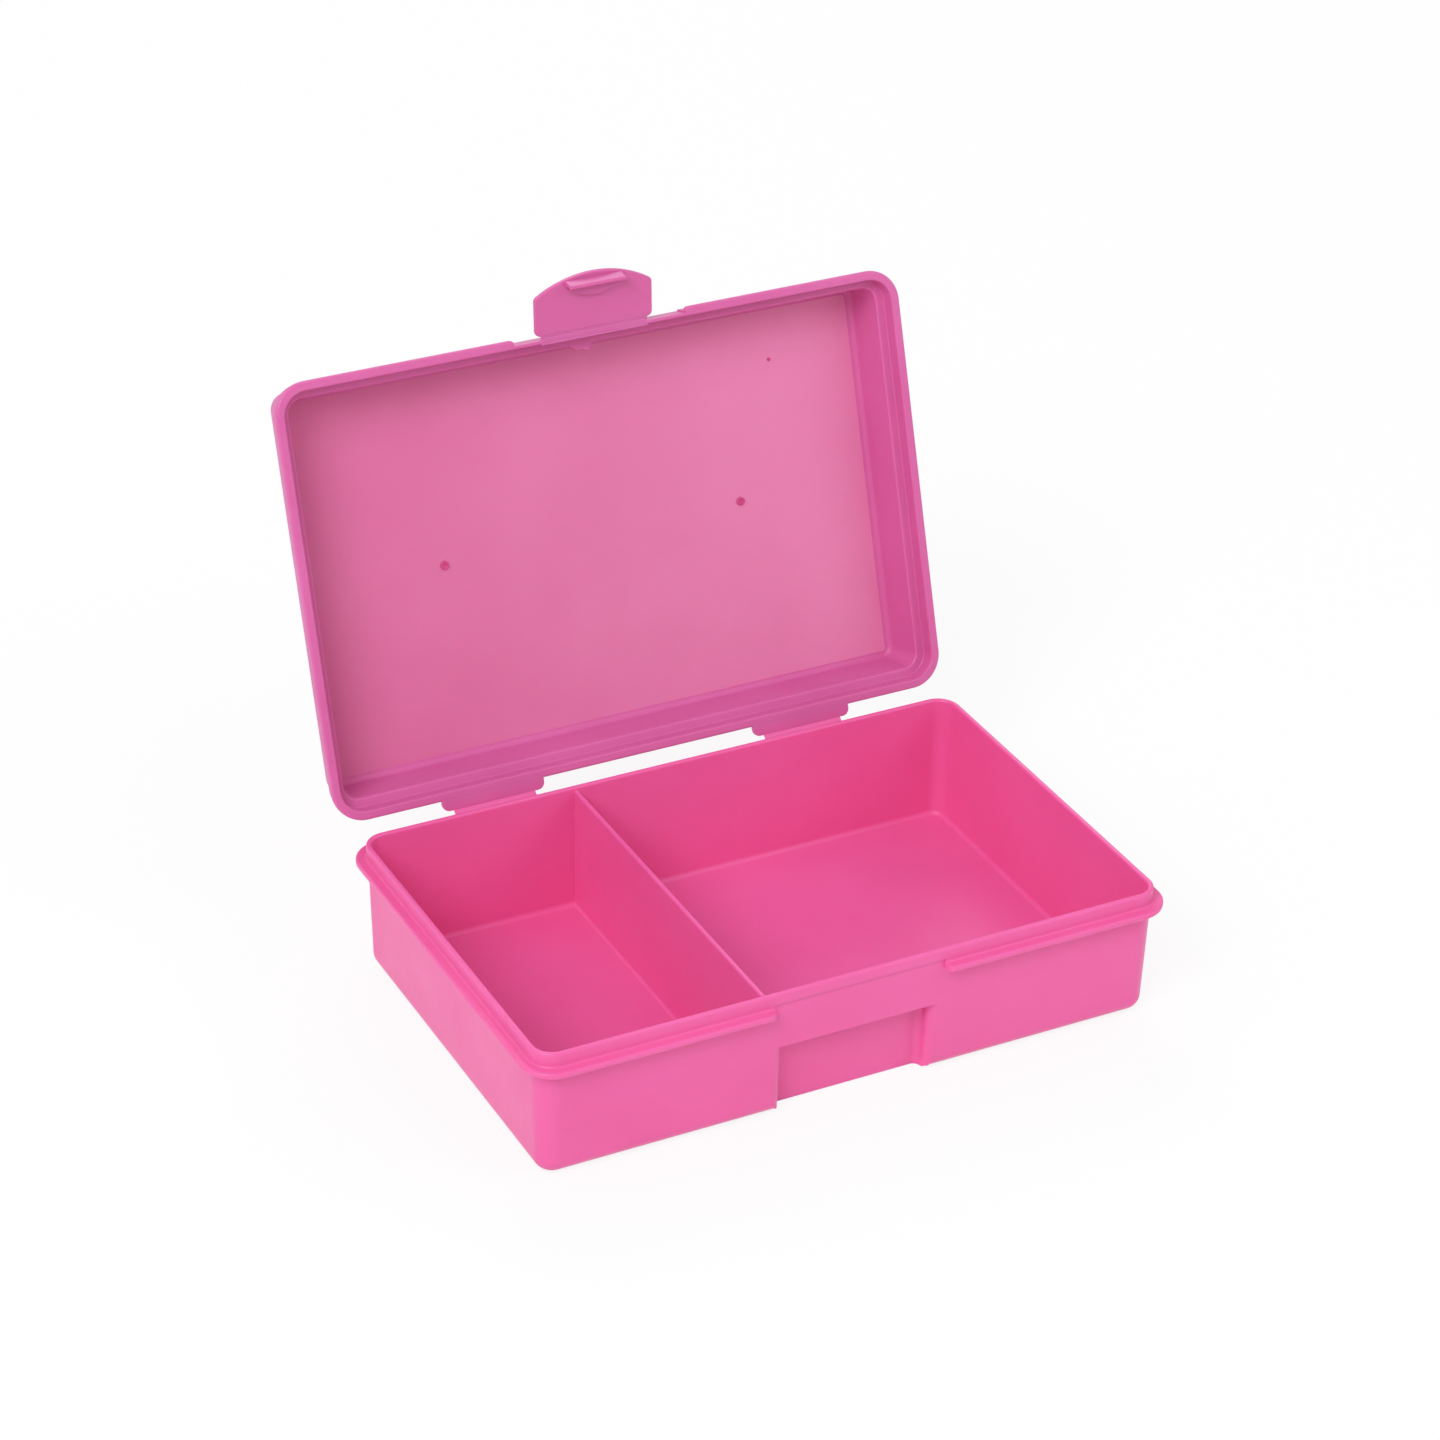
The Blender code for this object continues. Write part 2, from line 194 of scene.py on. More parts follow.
def block(name, low, high, round=0.0, steps=3):
    low, high = Vector(low), Vector(high)
    bpy.ops.object.select_all(action="DESELECT")
    bpy.ops.mesh.primitive_cube_add(size=1, location=(low + high) / 2)
    piece = bpy.context.object
    piece.name = name
    piece.scale = high - low
    bpy.ops.object.transform_apply(location=True, rotation=True, scale=True)
    if round:
        soften(piece, round, steps)
    return piece


def soften(piece, width, steps=3, angle=35):
    only(piece)
    bevel = piece.modifiers.new("soft", "BEVEL")
    bevel.width = width
    bevel.segments = steps
    bevel.limit_method = "ANGLE"
    bevel.angle_limit = math.radians(angle)
    bevel.miter_outer = "MITER_ARC"
    bpy.ops.object.modifier_apply(modifier="soft")


def place(piece, turn=None):              # turned into place, with its place in its mesh
    if turn is not None:
        piece.data.transform(turn)
    only(piece)
    bpy.ops.object.shade_smooth_by_angle(angle=math.radians(32))
    flats = piece.modifiers.new("flats", "WEIGHTED_NORMAL")     # keeps the flat walls flat beside their fillets
    flats.keep_sharp = True
    bpy.ops.object.modifier_apply(modifier="flats")


def wear(piece, material, body, slot, *nodes):
    if piece.data.materials:
        piece.data.materials[0] = material
    else:
        piece.data.materials.append(material)
    if body:
        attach(piece, body)
    if nodes:
        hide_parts(*nodes)


def notch(width, backY, mouthY, backRound, mouthRound, outside):
    # plan of a notch in the front: four corners each side, two of them rounded
    half = width / 2
    right = [(half + 3 * mouthRound + 0.001, outside), (half + 3 * mouthRound + 0.001, mouthY),
             (half, mouthY), (half, backY)]
    points = right + [(-x, y) for x, y in reversed(right)]
    corners = [(2, mouthRound, 8), (3, backRound, 8), (4, backRound, 8), (5, mouthRound, 8)]
    return points, [corner for corner in corners if corner[1] > 0]


# plastic

plasticLook = {
    "tub": {"colour": (0.835, 0.134, 0.395, 1), "deep": (0.815, 0.120, 0.370, 1), "cloud": 26.0,
            "rough": (0.30, 0.42), "grain": 900.0, "bump": 0.05},
    "lid": {"colour": (0.675, 0.143, 0.395, 1), "deep": (0.635, 0.124, 0.360, 1), "cloud": 26.0,
            "rough": (0.30, 0.42), "grain": 900.0, "bump": 0.05},
    # the panel look: the lid plastic painted paler, painted light on the thin panel
    "panel": {"colour": (0.770, 0.245, 0.470, 1), "deep": (0.655, 0.152, 0.352, 1), "cloud": 26.0,
              "fade": 0.8, "rough": (0.30, 0.42), "grain": 900.0, "bump": 0.05},
    # the nub look: a darker pink, partly painted shade round the lid's small bumps
    "nub": {"colour": (0.660, 0.070, 0.250, 1), "deep": (0.600, 0.060, 0.220, 1), "cloud": 200.0,
            "rough": (0.25, 0.35), "grain": 900.0, "bump": 0.05},
}


def socket(group, name, kind, way, value=None):
    item = group.interface.new_socket(name=name, in_out=way, socket_type="NodeSocket" + kind)
    if value is not None:
        item.default_value = value


def mouldedSurface():
    # cloudy colour, a painted-light slope of colour along X where asked, faint handling marks in the gloss, and
    # the fine spark-eroded grain of the mould
    group = bpy.data.node_groups.new("mouldedSurface", "ShaderNodeTree")
    socket(group, "Colour", "Color", "INPUT", (0.8, 0.1, 0.3, 1))
    socket(group, "Deep Colour", "Color", "INPUT", (0.7, 0.1, 0.3, 1))
    socket(group, "Cloud Scale", "Float", "INPUT", 12.0)
    socket(group, "Grain Scale", "Float", "INPUT", 900.0)
    socket(group, "Fade", "Float", "INPUT", 0.0)
    socket(group, "Rough Low", "Float", "INPUT", 0.3)
    socket(group, "Rough High", "Float", "INPUT", 0.45)
    socket(group, "Colour", "Color", "OUTPUT")
    socket(group, "Roughness", "Float", "OUTPUT")
    socket(group, "Height", "Float", "OUTPUT")
    nodes, links = group.nodes, group.links
    inside, outside = nodes.new("NodeGroupInput"), nodes.new("NodeGroupOutput")
    where = nodes.new("ShaderNodeTexCoord")

    def noise(scaleFrom, detail, roughness=0.5):
        node = nodes.new("ShaderNodeTexNoise")
        node.inputs["Detail"].default_value = detail
        node.inputs["Roughness"].default_value = roughness
        links.new(where.outputs["Object"], node.inputs["Vector"])
        if isinstance(scaleFrom, str):
            links.new(inside.outputs[scaleFrom], node.inputs["Scale"])
        else:
            node.inputs["Scale"].default_value = scaleFrom
        return node.outputs["Fac"]

    def spread(value, low, high):
        node = nodes.new("ShaderNodeMapRange")
        node.inputs["From Min"].default_value = low
        node.inputs["From Max"].default_value = high
        links.new(value, node.inputs["Value"])
        return node

    cloud = spread(noise("Cloud Scale", 3.0), 0.35, 0.65)
    # painted light: by its slope share, the colour runs from the deep colour at -X to the pale colour at +X
    apart = nodes.new("ShaderNodeSeparateXYZ")
    links.new(where.outputs["Object"], apart.inputs["Vector"])
    across = spread(apart.outputs["X"], -0.08, 0.08)
    share = nodes.new("ShaderNodeMix")
    links.new(inside.outputs["Fade"], share.inputs["Factor"])
    links.new(cloud.outputs["Result"], share.inputs[2])
    links.new(across.outputs["Result"], share.inputs[3])
    blend = nodes.new("ShaderNodeMix")
    blend.data_type = "RGBA"
    links.new(share.outputs[0], blend.inputs["Factor"])
    links.new(inside.outputs["Deep Colour"], blend.inputs[6])
    links.new(inside.outputs["Colour"], blend.inputs[7])
    links.new(blend.outputs[2], outside.inputs["Colour"])
    marks = spread(noise(60.0, 6.0, 0.65), 0.3, 0.7)
    links.new(inside.outputs["Rough Low"], marks.inputs["To Min"])
    links.new(inside.outputs["Rough High"], marks.inputs["To Max"])
    links.new(marks.outputs["Result"], outside.inputs["Roughness"])
    links.new(noise("Grain Scale", 2.0), outside.inputs["Height"])
    return group


surfaceGroup = mouldedSurface()


def plastic(name, look):
    material = bpy.data.materials.new(name)
    material.use_nodes = True
    nodes, links = material.node_tree.nodes, material.node_tree.links
    shader = nodes["Principled BSDF"]
    surface = nodes.new("ShaderNodeGroup")
    surface.node_tree = surfaceGroup
    surface.inputs["Colour"].default_value = look["colour"]
    surface.inputs["Deep Colour"].default_value = look["deep"]
    surface.inputs["Cloud Scale"].default_value = look["cloud"]
    surface.inputs["Grain Scale"].default_value = look["grain"]
    surface.inputs["Fade"].default_value = look.get("fade", 0)
    surface.inputs["Rough Low"].default_value = look["rough"][0]
    surface.inputs["Rough High"].default_value = look["rough"][1]
    bump = nodes.new("ShaderNodeBump")
    bump.inputs["Strength"].default_value = look["bump"]
    bump.inputs["Distance"].default_value = 0.0002
    links.new(surface.outputs["Height"], bump.inputs["Height"])
    links.new(bump.outputs["Normal"], shader.inputs["Normal"])
    links.new(surface.outputs["Colour"], shader.inputs["Base Color"])
    links.new(surface.outputs["Roughness"], shader.inputs["Roughness"])
    shader.inputs["IOR"].default_value = 1.49
    shader.inputs["Specular IOR Level"].default_value = 0.4
    shader.inputs["Subsurface Weight"].default_value = 0.25
    shader.inputs["Subsurface Radius"].default_value = (1.0, 0.25, 0.45)
    shader.inputs["Subsurface Scale"].default_value = 0.003
    return material


tubPlastic = plastic("pinkTubPlastic", plasticLook["tub"])
lidPlastic = plastic("pinkLidPlastic", plasticLook["lid"])
# a paler copy of the lid plastic, painted light for the panel
panelPaintedLightPlastic = plastic("pinkPanelPlastic", plasticLook["panel"])
# a darker pink, partly painted shade for the small bumps
nubPaintedShadePlastic = plastic("pinkThickPlastic", plasticLook["nub"])


# tub

tub = {
    "wallTop": -0.0005,       # the wall under the flange, from the lip's face
    "wallFoot": -0.00141,     # the same wall run down to the table
    "footRound": 0.0040,
    "wall": 0.0014,
    "lipWall": 0.0015,
    "lipFoot": 0.0007,
    "floor": 0.0014,
    "floorRound": 0.0014,
    "inwards": -0.0060,       # where the flat floor takes over
}
recess = {
    "width": 0.0424, "height": 0.0211, "depth": 0.0053, "round": 0.0019, "mouthRound": 0.0030, "wall": 0.0014, "lean": 0.00066,
    "mouth": 0.0008,          # how far the leaning wall stands in at the recess's top
    "flangeGap": 0.0492, "flangeEnd": 0.0025, "band": 0.0030,
}


def leanIn(piece, below, lean):       # the low end follows the tub's leaning wall
    edit(piece)
    pick(piece, "verts", lambda vert: vert.co.z < below)
    bpy.ops.transform.translate(value=(0, lean, 0))
    leave(piece)


def makeTub():
    under = partingLevel - rim["gap"] - rim["flange"]
    flangeTop = partingLevel - rim["gap"]
    innerTop = -tub["lipWall"]
    innerFoot = tub["wallFoot"] - tub["wall"] + 0.00008
    profile = [
        (tub["inwards"], 0), (tub["wallFoot"], 0), (tub["wallTop"], under), (rim["reach"], under),
        (rim["reach"], flangeTop), (0, flangeTop), (0, tubTop), (innerTop, tubTop),
        (innerFoot, tub["floor"]), (tub["inwards"], tub["floor"]),
    ]
    corners = [
        (1, tub["footRound"], 8), (2, 0.0003, 3), (3, 0.0007, 5), (4, 0.0006, 5),
        (5, tub["lipFoot"], 5), (6, 0.00068, 6), (7, 0.00068, 6), (8, tub["floorRound"], 5),
    ]
    shell = sweepRound("tubShell", profile, corners)

    frontWall = -lipWidth - tub["wallTop"]
    backY = frontWall + recess["depth"]
    points, rounds = notch(recess["width"] + 2 * recess["wall"], backY + recess["wall"],
                           frontWall + 0.0012, recess["round"] + recess["wall"], 0, frontWall + 0.0012)
    points = points[2:6]
    rounds = [(1, recess["round"] + recess["wall"], 8), (2, recess["round"] + recess["wall"], 8)]
    bulge = slab("bulge", points, rounds, tub["floor"] - 0.0003, recess["height"] + recess["wall"])
    leanIn(bulge, 0.01, recess["lean"])
    combine(shell, bulge, "UNION")
    points, rounds = notch(recess["width"], backY, recess["mouth"] - lipWidth, recess["round"],
                           recess["mouthRound"], -halfWidth - 0.002)
    hollow = slab("hollow", points, rounds, -0.002, recess["height"])
    leanIn(hollow, 0.01, recess["lean"])
    combine(shell, hollow, "DIFFERENCE")
    points, rounds = notch(recess["flangeGap"], frontWall, -halfWidth, 0, recess["flangeEnd"],
                           -halfWidth - 0.003)
    flangeGap = slab("flangeGap", points, rounds, under - 0.002, tubTop - recess["band"])
    combine(shell, flangeGap, "DIFFERENCE")
    return shell


divider = {
    "x": -0.0266, "top": 0.0010, "thick": 0.0014, "foot": 0.0017, "fillet": 0.0012, "into": 0.0004,
    "lean": 0.00145, "soleLean": 0.0024,
}
leaf = {
    "spacing": 0.094, "width": 0.030, "thick": 0.0014, "corner": 0.0020, "clear": 0.0006, "into": 0.0006,
}
moldMark = {"radius": 0.0006, "rise": 0.00025}


def makeDivider():
    # an upside-down T in section: rounded on top, with a fillet where it meets the floor
    top = tubTop - divider["top"]
    foot, half, fillet = divider["foot"] / 2, divider["thick"] / 2, divider["fillet"]
    floor = tub["floor"]
    points = [(-foot - fillet, floor - 0.0004), (-foot - fillet, floor), (-foot, floor), (-half, top),
              (half, top), (foot, floor), (foot + fillet, floor), (foot + fillet, floor - 0.0004)]
    corners = [(2, fillet * 0.9, 5), (3, half * 0.95, 5), (4, half * 0.95, 5), (5, fillet * 0.9, 5)]
    reach = lipWidth - tub["lipWall"] + divider["into"]
    piece = slab("dividerWall", points, corners, -reach, reach)
    # drawn lying down, then stood up across the tub
    piece.data.transform(Matrix.Translation((divider["x"], 0, 0)) @ Matrix.Rotation(math.pi / 2, 4, "X"))
    edit(piece)                 # its ends lean in with the tub's walls, most of all at the rounded foot
    sole = floor - 0.0001
    for low, high, lean in ((-1, sole, divider["soleLean"]), (sole, tubTop / 2, divider["lean"])):
        for side in (1, -1):
            pick(piece, "verts", lambda vert: side * vert.co.y > 0 and low < vert.co.z < high)
            bpy.ops.transform.translate(value=(0, -side * lean, 0))
    return leave(piece)


def hingeLeaf(name, side, startY, endY, low):
    # a tab between two Y levels, its far corners rounded
    x, half = side * leaf["spacing"] / 2, leaf["width"] / 2
    points = [(x + half, startY), (x + half, endY), (x - half, endY), (x - half, startY)]
    corners = [(1, leaf["corner"], 7), (2, leaf["corner"], 7)]
    piece = slab(name, points, corners, low, low + leaf["thick"])
    soften(piece, 0.00025, 3, 60)
    return piece


def ejectorMark(name, x, y, z, radius, rise):
    bpy.ops.object.select_all(action="DESELECT")
    bpy.ops.mesh.primitive_cylinder_add(vertices=24, radius=radius, depth=rise * 2, location=(x, y, z))
    piece = bpy.context.object
    piece.name = name
    bpy.ops.object.transform_apply(location=True, rotation=True, scale=True)
    soften(piece, rise * 0.6, 3, 60)
    return piece


tubShell = makeTub()
combine(tubShell, makeDivider(), "UNION")
for count, (x, y) in enumerate(((-0.059, -0.033), (0.030, -0.033))):
    combine(tubShell, ejectorMark("gateMark", x, y, tub["floor"], moldMark["radius"], moldMark["rise"]), "UNION")
place(tubShell)
wear(tubShell, tubPlastic, "tub", "pink_plastic", "base_tub", "divider_wall")
for word, side in (("left", -1), ("right", 1)):
    low = partingLevel - rim["gap"] - leaf["thick"]
    piece = hingeLeaf("tubLeaf_" + word, side, halfWidth - leaf["into"], rearAxis.y - leaf["clear"], low)
    place(piece)
    wear(piece, tubPlastic, "tub", "pink_plastic", "base_hinge_leaf_" + word)
print("tub done", len(tubShell.data.polygons), "faces")


# lid, modelled closed over the tub with its heights from the parting level

lid = {
    "height": 0.0194, "clear": 0.0003, "wall": 0.0014, "pocket": 0.0046, "step": 0.0026, "draft": 0.0011,
    "edge": 0.0030, "inwards": -0.0061,
    "panelStep": 0.00012, "panelInset": 0.0019,
    "notchX": 0.0020, "notchWidth": 0.0510, "notchRound": 0.0012, "notchWall": 0.0009,
    "gateSpacing": 0.090, "gateRadius": 0.0012, "gateRise": 0.0005,
    "ribX": -0.0025, "ribWidth": 0.0080, "ribReach": 0.0024, "ribHeight": 0.0040,
}
lidPlace = lidTurn @ Matrix.Translation((0, -rearAxis.y, 0))


def makeLid():
    bead = rim["gap"] + rim["flange"]
    band = lid["clear"] + lid["wall"]
    ceiling = rim["gap"] + lid["pocket"]
    shoulder = ceiling + lid["wall"]
    inner = lid["clear"] - lid["step"]
    outer = inner + lid["wall"]
    innerTop = lid["height"] - lid["wall"]
    insideFoot = inner - lid["draft"]
    edgeIn = lid["edge"] - lid["wall"]
    flatStart = insideFoot - edgeIn - 0.0001
    profile = [
        (lid["inwards"], innerTop + lid["panelStep"]), (flatStart - 0.0001, innerTop + lid["panelStep"]),
        (flatStart, innerTop), (insideFoot, innerTop), (inner, ceiling), (lid["clear"], ceiling),
        (lid["clear"], rim["gap"]), (rim["reach"], rim["gap"]), (rim["reach"], bead), (band, bead),
        (band, shoulder), (outer, shoulder), (outer - lid["draft"], lid["height"]),
        (lid["inwards"], lid["height"]),
    ]
    corners = [
        (3, edgeIn * 0.9, 6), (4, 0.0005, 4), (5, 0.0004, 4), (6, 0.0004, 4), (7, 0.0006, 5),
        (8, 0.0006, 5), (9, 0.0002, 3), (10, 0.0008, 5), (11, 0.0003, 3), (12, lid["edge"], 8),
    ]
    shell = sweepRound("lidShell", profile, corners)
    notchY = -(lipWidth + lid["clear"] + lid["notchWall"])
    points, rounds = notch(lid["notchWidth"], notchY, -halfWidth, 0, lid["notchRound"], -halfWidth - 0.002)
    points = [(x + lid["notchX"], y) for x, y in points]
    combine(shell, slab("rimNotch", points, rounds, -0.002, shoulder + 0.001), "DIFFERENCE")
    return shell


def gateNub(name, x, y, top, radius, rise):
    # a low button hanging from the panel, dished in the middle
    bpy.ops.object.select_all(action="DESELECT")
    bpy.ops.mesh.primitive_cylinder_add(vertices=32, radius=radius, depth=2 * rise, location=(x, y, top))
    piece = bpy.context.object
    piece.name = name
    bpy.ops.object.transform_apply(location=True, rotation=True, scale=True)
    edit(piece)
    pick(piece, "faces", lambda face: face.normal.z < -0.9)
    bpy.ops.mesh.inset(thickness=radius * 0.45)
    bpy.ops.mesh.extrude_region_move(TRANSFORM_OT_translate={"value": (0, 0, rise * 0.5)})
    leave(piece)
    soften(piece, rise * 0.3, 3, 50)
    return piece


def makeLidRib():
    # a little wedge under the front wall, arched on its lower side
    wallY = -(lipWidth + lid["clear"] - lid["step"])
    ledge = rim["gap"] + lid["pocket"]
    half = lid["ribWidth"] / 2
    points = [(lid["ribX"] - half, wallY - 0.0005), (lid["ribX"] + half, wallY - 0.0005),
              (lid["ribX"] + half * 0.5, wallY + lid["ribReach"]),
              (lid["ribX"], wallY + lid["ribReach"] * 0.55),
              (lid["ribX"] - half * 0.35, wallY + lid["ribReach"] * 0.7)]
    piece = slab("lidRib", points, [(3, 0.0009, 5)], ledge + 0.0002, ledge + lid["ribHeight"])
    soften(piece, 0.0002, 2, 50)
    return piece


lidShell = makeLid()
innerTop = lid["height"] - lid["wall"] + lid["panelStep"]
combine(lidShell, makeLidRib(), "UNION")
for material in (lidPlastic, panelPaintedLightPlastic):
    lidShell.data.materials.append(material)
lidShell.active_material_index = 1
edit(lidShell)                  # the flat panel gets a paler copy of the lid plastic: painted light, where the thin panel looks brighter than the walls
pick(lidShell, "faces", lambda face: abs(face.normal.z) > 0.98
     and abs(face.calc_center_median().z - innerTop) < 0.0001)
bpy.ops.object.material_slot_assign()
leave(lidShell)
place(lidShell, lidPlace)
wear(lidShell, lidPlastic, "lid", "lid_plastic", "lid_shell", "lid_front_rib")
nubs = [("left", -lid["gateSpacing"] / 2, 0, lid["gateRadius"], lid["gateRise"]),
        ("right", lid["gateSpacing"] / 2, 0, lid["gateRadius"], lid["gateRise"]),
        ("small", 0.0589, -0.0377, 0.0005, 0.0003)]
for word, x, y, radius, rise in nubs:     # darker pink where the plastic is thick, with painted shade for the dark rings round the bumps
    piece = gateNub("lidNub_" + word, x, y, innerTop, radius, rise)
    place(piece, lidPlace)
    wear(piece, nubPaintedShadePlastic, "lid", "lid_plastic")
for word, side in (("left", -1), ("right", 1)):
    piece = hingeLeaf("lidLeaf_" + word, side, halfWidth - leaf["into"], rearAxis.y - leaf["clear"], rim["gap"])
    place(piece, lidPlace)
    wear(piece, lidPlastic, "lid", "lid_plastic", "lid_hinge_leaf_" + word)
print("lid done", len(lidShell.data.polygons), "faces")


# latch, modelled straight out from its hinge, inner face down

latch = {
    "width": 0.0346, "thick": 0.0014, "rise": 0.0052, "rootCorner": 0.0016, "tipCorner": 0.0014,
    "root": 0.0006, "inner": -0.0004, "recessTop": 0.0211, "hookClear": 0.00025, "hookThick": 0.0016,
    "hookMargin": 0.0013, "hookWidth": 0.0167, "hookBite": 0.0010, "catchY": -0.05589,
    "ridgeHeight": 0.0011, "ridgeDrop": 0.0026,
}


def makeLatch():
    half = latch["width"] / 2
    drop = partingLevel + latchSpot.z - latch["recessTop"] + latch["hookClear"]
    length = drop + latch["hookThick"] + latch["hookMargin"]
    low = latch["inner"]
    # the tip is one wide arc, eased into the straight sides by two small ones
    radius = (half ** 2 + latch["rise"] ** 2) / (2 * latch["rise"])
    small, level = latch["tipCorner"], radius - length
    cornerX = half - small
    cornerY = level - math.sqrt((radius - small) ** 2 - cornerX ** 2)
    meet = math.atan2(cornerX, level - cornerY)
    side = [(cornerX + small * math.cos(turn), cornerY - small * math.sin(turn))
            for turn in (step / 6 * (math.pi / 2 - meet) for step in range(7))]
    tip = [(radius * math.sin(turn), level - radius * math.cos(turn))
           for turn in (meet * (1 - step / 12) for step in range(1, 13))]
    right = [(half, -latch["root"])] + side + tip
    left = [(-x, y) for x, y in reversed(right[:-1])]
    points = [(0.002, -latch["root"])] + right + left + [(-0.002, -latch["root"])]
    plate = slab("latchPlate", points, [(1, latch["rootCorner"], 6), (len(points) - 2, latch["rootCorner"], 6)],
                 low, low + latch["thick"])
    soften(plate, 0.00035, 3, 50)
    # the hook bar across the inner face, and the curved ridge under it
    reach = latch["catchY"] + latch["hookBite"] - (rearAxis.y + latchSpot.y)
    hookHalf = latch["hookWidth"] / 2
    hook = block("latchHook", (-hookHalf, -drop - latch["hookThick"], -reach), (hookHalf, -drop, low + 0.0004))
    edit(hook)                  # its crest is thinner than its root
    pick(hook, "verts", lambda vert: vert.co.z < low - 0.001 and vert.co.y < -drop - latch["hookThick"] / 2)
    bpy.ops.transform.translate(value=(0, latch["hookThick"] * 0.35, 0))
    leave(hook)
    soften(hook, 0.0004, 4, 50)
    combine(plate, hook, "UNION")
    ridgeEnd, ridgeY = hookHalf * 0.95, -drop + 0.0006
    chord = [(ridgeEnd, ridgeY), (ridgeEnd * 0.6, ridgeY + latch["ridgeDrop"] * 0.75),
             (0, ridgeY + latch["ridgeDrop"]), (-ridgeEnd * 0.6, ridgeY + latch["ridgeDrop"] * 0.75),
             (-ridgeEnd, ridgeY)]
    ridge = slab("latchRidge", chord, [(1, 0.004, 6), (2, 0.003, 6), (3, 0.004, 6)],
                 low - latch["ridgeHeight"], low + 0.0003)
    soften(ridge, 0.0003, 3, 50)
    combine(plate, ridge, "UNION")
    return plate


latchPlate = makeLatch()
place(latchPlate, latchTurn)
wear(latchPlate, lidPlastic, "latch", "lid_plastic", "latch_plate", "latch_hook")
print("latch done", len(latchPlate.data.polygons), "faces")


# film hinges: thin webs that bend round the joints' axes

film = {
    "thick": 0.00034, "rearWidth": 0.024, "latchWidth": 0.0315, "lap": 0.0012,
    "latchLevel": -0.00012, "bend": 0.0004, "steps": 6,
}


def makeFilm(name, x, width, points):
    # a strip from one edge to the other, lapped onto both, with a soft bend between them
    points = [Vector(point) + Vector((x - width / 2, 0, 0)) for point in points]
    corners = [(1, film["bend"], film["steps"]), (2, film["bend"], film["steps"])]
    piece = drawLine(name, points, corners)
    bpy.ops.mesh.select_all(action="SELECT")
    bpy.ops.mesh.extrude_region_move(TRANSFORM_OT_translate={"value": (width, 0, 0)})
    leave(piece)
    web = piece.modifiers.new("web", "SOLIDIFY")
    web.thickness = film["thick"]
    web.offset = 0.0
    bpy.ops.object.modifier_apply(modifier="web")
    edit(piece)
    return outward(piece)


def makeRearFilm(word, side):
    # it runs inside the two leaves' facing skins, so it stays hidden in them when the box is shut
    clear, lap, deep = leaf["clear"], film["lap"], film["thick"] * 0.8
    tubSide = [rearAxis + Vector((0, -clear - lap, -rim["gap"] - deep)),
               rearAxis + Vector((0, -clear, -rim["gap"] - deep))]
    lidSide = [lidTurn @ Vector((0, -clear, rim["gap"] + deep)),
               lidTurn @ Vector((0, -clear - lap, rim["gap"] + deep))]
    name = "rearFilm_" + word
    piece = makeFilm(name, side * leaf["spacing"] / 2, film["rearWidth"], tubSide + lidSide)
    place(piece)
    wear(piece, tubPlastic, None, "pink_plastic", "rear_film_" + word)
    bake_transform(piece)


def makeLatchFilm():
    clear, lap, deep = latch["root"], film["lap"], film["latchLevel"]
    rimSide = [lidTurn @ (latchSpot + Vector((0, clear + lap, deep))),
               lidTurn @ (latchSpot + Vector((0, clear * 0.8, deep)))]
    plateSide = [latchTurn @ Vector((0, -clear, deep)), latchTurn @ Vector((0, -clear - lap, deep))]
    piece = makeFilm("latchFilm", 0, film["latchWidth"], rimSide + plateSide)
    place(piece)
    wear(piece, lidPlastic, None, "lid_plastic", "latch_film")
    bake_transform(piece)


for word, side in (("left", -1), ("right", 1)):
    makeRearFilm(word, side)
makeLatchFilm()
print("films done")


# stage, light and camera

studio = {
    "world": 0.56,
    "key": {"place": (-1.3, -0.9, 1.6), "size": 1.0, "power": 26.0},
    "fill": {"place": (1.5, -1.2, 1.3), "size": 1.2, "power": 8.0},
    "back": {"place": (0.4, 1.6, 1.5), "size": 1.0, "power": 11.0},
}
view = {
    "place": (-0.4471, -0.8275, 0.6303),
    "yaw": 27.719, "pitch": 30.271, "roll": 1.342, "lens": 105.73,
}


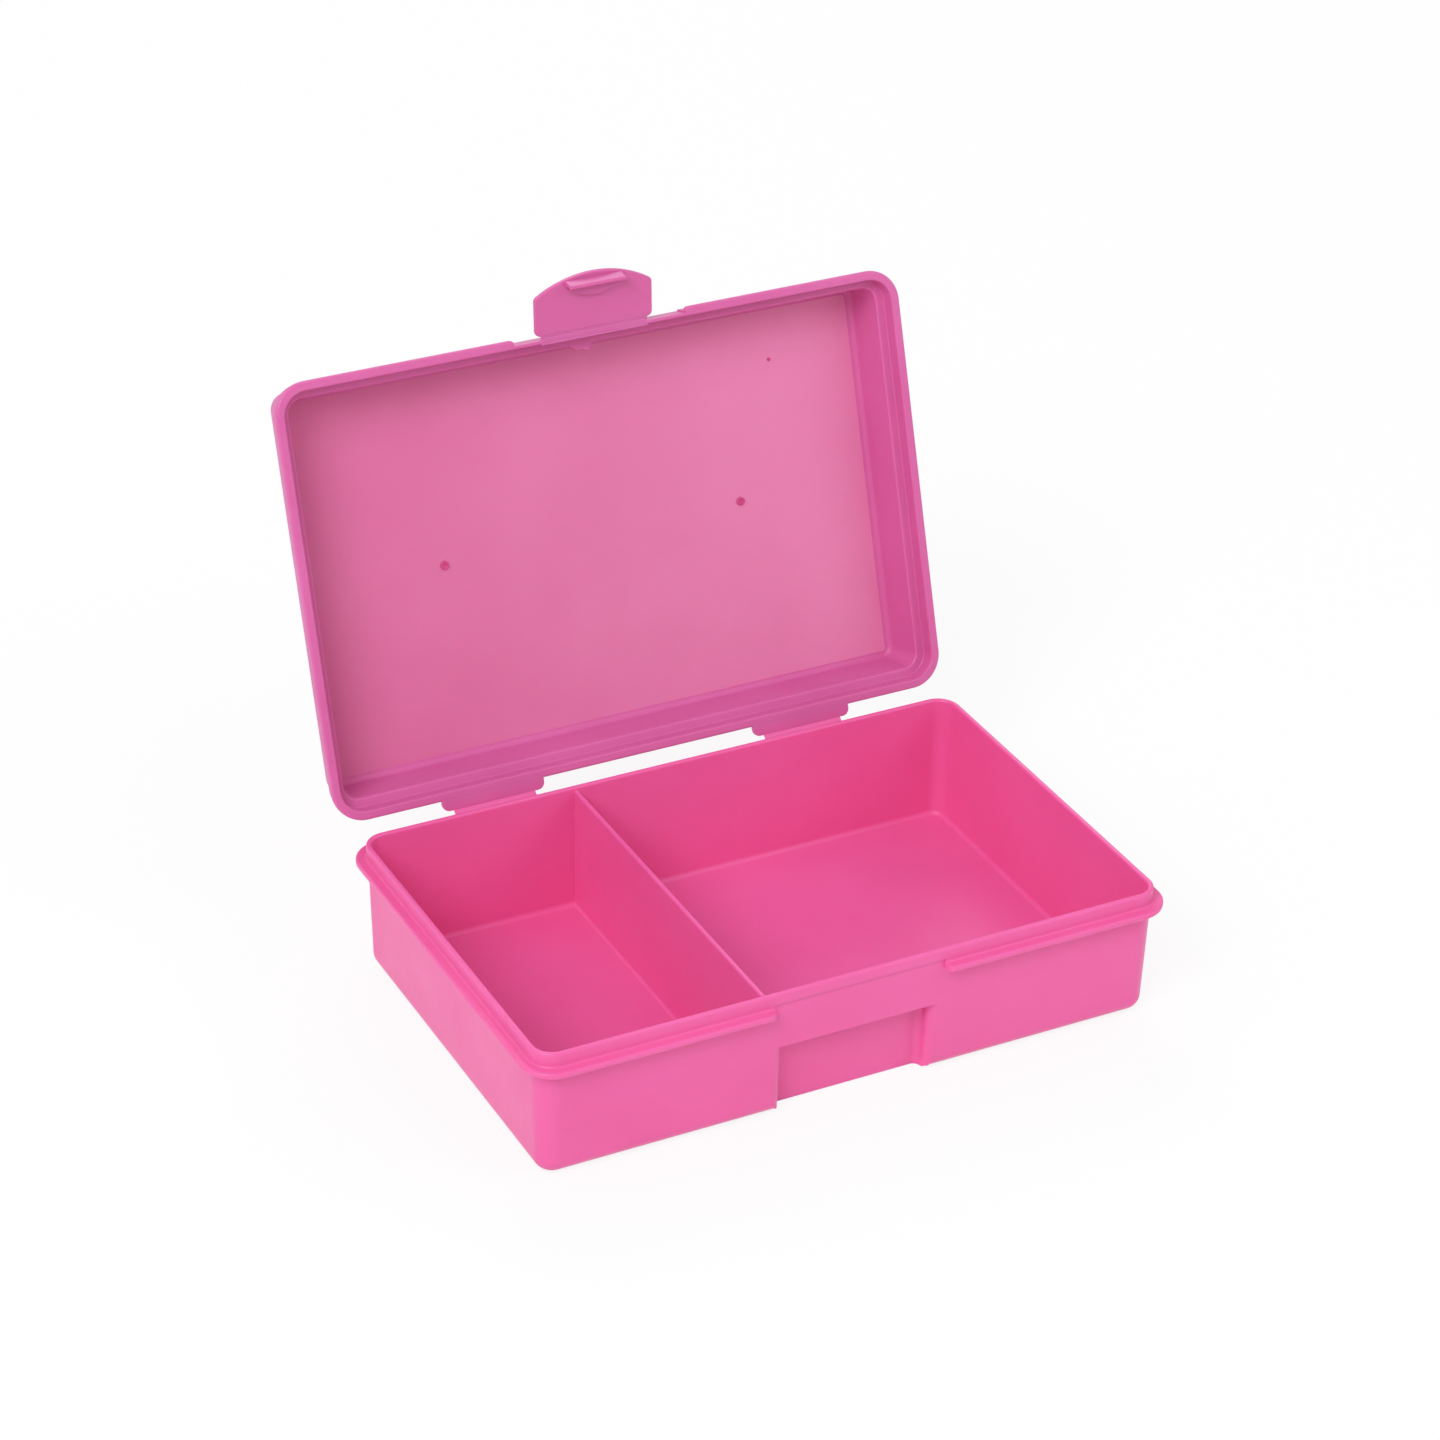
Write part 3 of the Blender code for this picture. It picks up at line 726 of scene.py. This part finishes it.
def makeStage():
    bpy.ops.object.select_all(action="DESELECT")
    bpy.ops.mesh.primitive_plane_add(size=24)
    floor = bpy.context.object
    floor.name = "floor"
    floor.location.z = -0.0002
    material = bpy.data.materials.new("whiteFloor")
    material.use_nodes = True
    nodes, links = material.node_tree.nodes, material.node_tree.links
    shader = nodes["Principled BSDF"]
    shader.inputs["Base Color"].default_value = (0.90, 0.90, 0.90, 1)
    shader.inputs["Roughness"].default_value = 0.9
    shader.inputs["Specular IOR Level"].default_value = 0.0
    light = nodes.new("ShaderNodeLightPath")
    seen = nodes.new("ShaderNodeMath")
    seen.operation = "MAXIMUM"
    links.new(light.outputs["Is Camera Ray"], seen.inputs[0])
    links.new(light.outputs["Is Glossy Ray"], seen.inputs[1])
    shown = nodes.new("ShaderNodeMath")
    shown.operation = "MAXIMUM"
    links.new(seen.outputs[0], shown.inputs[0])
    links.new(light.outputs["Is Transmission Ray"], shown.inputs[1])
    share = nodes.new("ShaderNodeMath")
    share.operation = "MULTIPLY"
    share.inputs[1].default_value = 0.86       # the rest is left to the shadow
    links.new(shown.outputs[0], share.inputs[0])
    glow = nodes.new("ShaderNodeEmission")
    glow.inputs["Color"].default_value = (1, 1, 1, 1)
    mix = nodes.new("ShaderNodeMixShader")
    links.new(share.outputs[0], mix.inputs["Fac"])
    links.new(shader.outputs["BSDF"], mix.inputs[1])
    links.new(glow.outputs["Emission"], mix.inputs[2])
    links.new(mix.outputs["Shader"], nodes["Material Output"].inputs["Surface"])
    floor.data.materials.append(material)

    world = bpy.data.worlds.new("studio")
    bpy.context.scene.world = world
    world.use_nodes = True
    nodes, links = world.node_tree.nodes, world.node_tree.links
    background = nodes["Background"]
    background.inputs["Color"].default_value = (1, 1, 1, 1)
    light = nodes.new("ShaderNodeLightPath")
    strength = nodes.new("ShaderNodeMapRange")
    strength.inputs["To Min"].default_value = studio["world"]
    strength.inputs["To Max"].default_value = 1.0
    links.new(light.outputs["Is Camera Ray"], strength.inputs["Value"])
    links.new(strength.outputs["Result"], background.inputs["Strength"])


def makeLamps():
    aim = Vector((0, 0.02, 0.05))
    for name in ("key", "fill", "back"):
        spec = studio[name]
        bpy.ops.object.light_add(type="AREA", location=spec["place"])
        lamp = bpy.context.object
        lamp.name = name + "Lamp"
        lamp.data.size = spec["size"]
        lamp.data.energy = spec["power"]
        lamp.rotation_euler = (aim - Vector(spec["place"])).to_track_quat("-Z", "Y").to_euler()


def makeCamera():
    yaw, pitch, roll = (math.radians(view[name]) for name in ("yaw", "pitch", "roll"))
    forward = Vector((math.sin(yaw) * math.cos(pitch), math.cos(yaw) * math.cos(pitch), -math.sin(pitch)))
    right = Vector((math.cos(yaw), -math.sin(yaw), 0))
    up = right.cross(forward)
    level = Matrix((right, up, -forward)).transposed()
    turned = level @ Matrix.Rotation(roll, 3, "Z")
    data = bpy.data.cameras.new("camera")
    data.sensor_width = 36.0
    data.lens = view["lens"]
    camera = bpy.data.objects.new("camera", data)
    bpy.context.scene.collection.objects.link(camera)
    camera.matrix_world = Matrix.Translation(view["place"]) @ turned.to_4x4()
    bpy.context.scene.camera = camera


makeStage()
makeLamps()
makeCamera()
bpy.context.scene.view_settings.view_transform = "Standard"
print("stage done")
